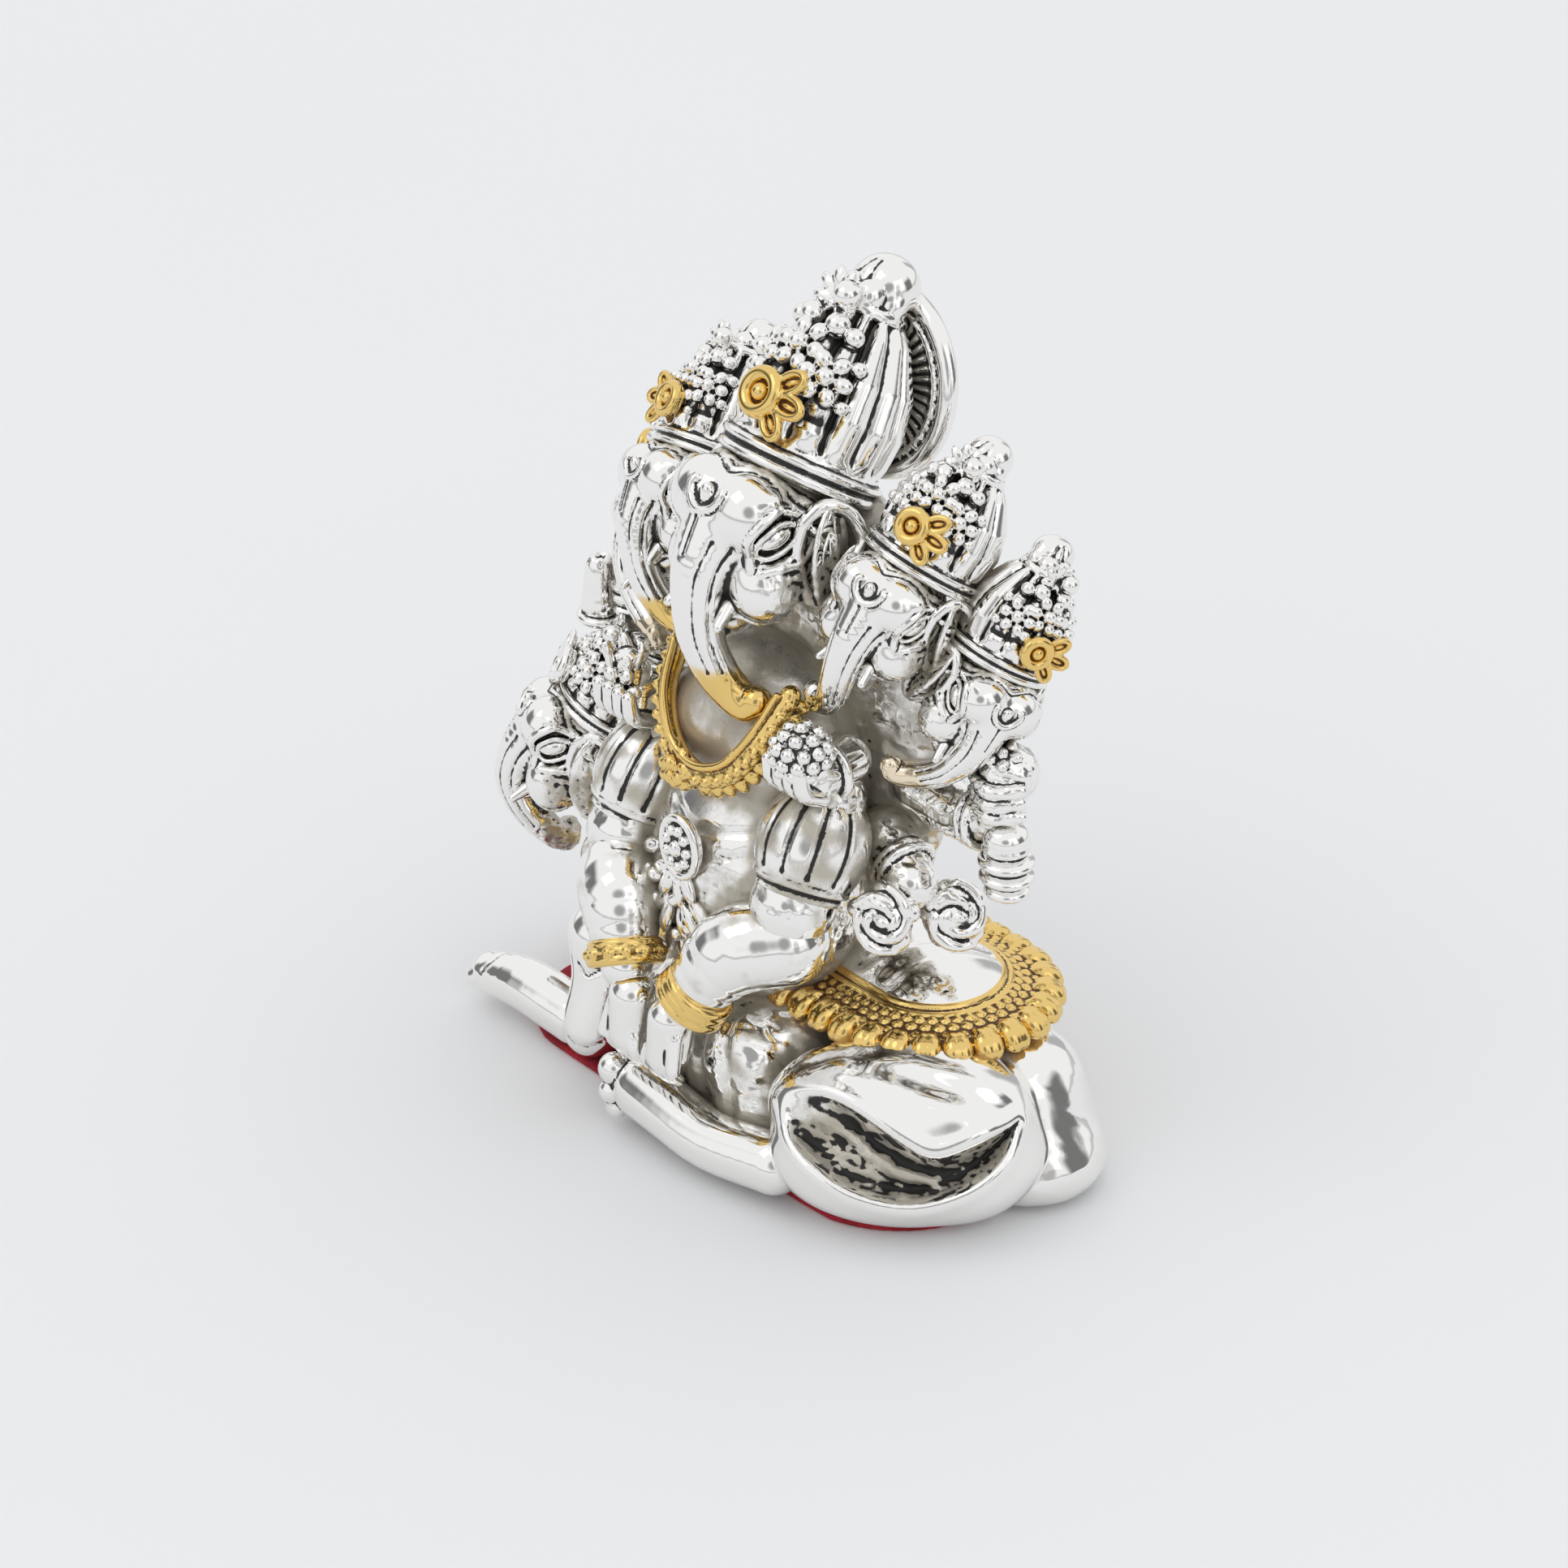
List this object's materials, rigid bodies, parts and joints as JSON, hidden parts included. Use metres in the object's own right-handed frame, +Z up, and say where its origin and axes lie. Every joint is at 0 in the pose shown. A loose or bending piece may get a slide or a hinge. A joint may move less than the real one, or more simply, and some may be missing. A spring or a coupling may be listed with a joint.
{
  "type": "ganesha idol",
  "caption": "Seated many-headed elephant deity table idol, silver plated with gold lacquer ornaments, on a thin velvet pad.",
  "frame": {"origin": "on the surface the idol stands on, under the middle of its box", "axes": "+Z up, -Y the way the middle head faces, +X towards the idol's own left hand"},
  "size_m": [0.092, 0.048, 0.1116],
  "materials": {
    "silver_plate": "bright silver plate over cast resin, black patina in the grooves",
    "gold_lacquer": "clear gold lacquer over the plate, darker in the recesses",
    "red_velvet": "short-pile red velvet"
  },
  "bodies": {
    "root": {"back": "silver_plate", "beaded_brim": "gold_lacquer", "belly_garland": "silver_plate", "belly_medallion": "silver_plate", "berry_ball": "silver_plate", "flower_bunch": "silver_plate", "front_rose": "silver_plate", "halo": "silver_plate", "hip_cloth": "silver_plate", "inner_left_crown": "silver_plate", "inner_left_crown_flower": "gold_lacquer", "inner_left_head": "silver_plate", "inner_right_crown": "silver_plate", "inner_right_crown_flower": "gold_lacquer", "inner_right_head": "silver_plate", "lap_cloth": "silver_plate", "left_bangle": "gold_lacquer", "left_bud": "silver_plate", "left_foot": "silver_plate", "left_forearm": "silver_plate", "left_fruit": "silver_plate", "left_hand": "silver_plate", "left_leg": "silver_plate", "left_lower_arm": "silver_plate", "left_raised_hand": "silver_plate", "left_rear_arm": "silver_plate", "left_sleeve": "silver_plate", "left_upper_arm": "silver_plate", "middle_crown": "silver_plate", "middle_crown_flower": "gold_lacquer", "middle_head": "silver_plate", "necklace": "gold_lacquer", "outer_left_crown": "silver_plate", "outer_left_crown_flower": "gold_lacquer", "outer_left_head": "silver_plate", "outer_right_crown": "silver_plate", "outer_right_crown_flower": "gold_lacquer", "outer_right_head": "silver_plate", "rear_rose": "silver_plate", "right_bangle": "gold_lacquer", "right_bud": "silver_plate", "right_foot": "silver_plate", "right_forearm": "silver_plate", "right_fruit": "silver_plate", "right_hand": "silver_plate", "right_lower_arm": "silver_plate", "right_raised_hand": "silver_plate", "right_rear_arm": "silver_plate", "right_shin": "silver_plate", "right_sleeve": "silver_plate", "right_thigh": "silver_plate", "right_upper_arm": "silver_plate", "seat_robe": "silver_plate", "side_crown": "silver_plate", "side_crown_flower": "silver_plate", "side_head": "silver_plate", "torso": "silver_plate", "velvet_pad": "red_velvet"}
  },
  "joints": []
}
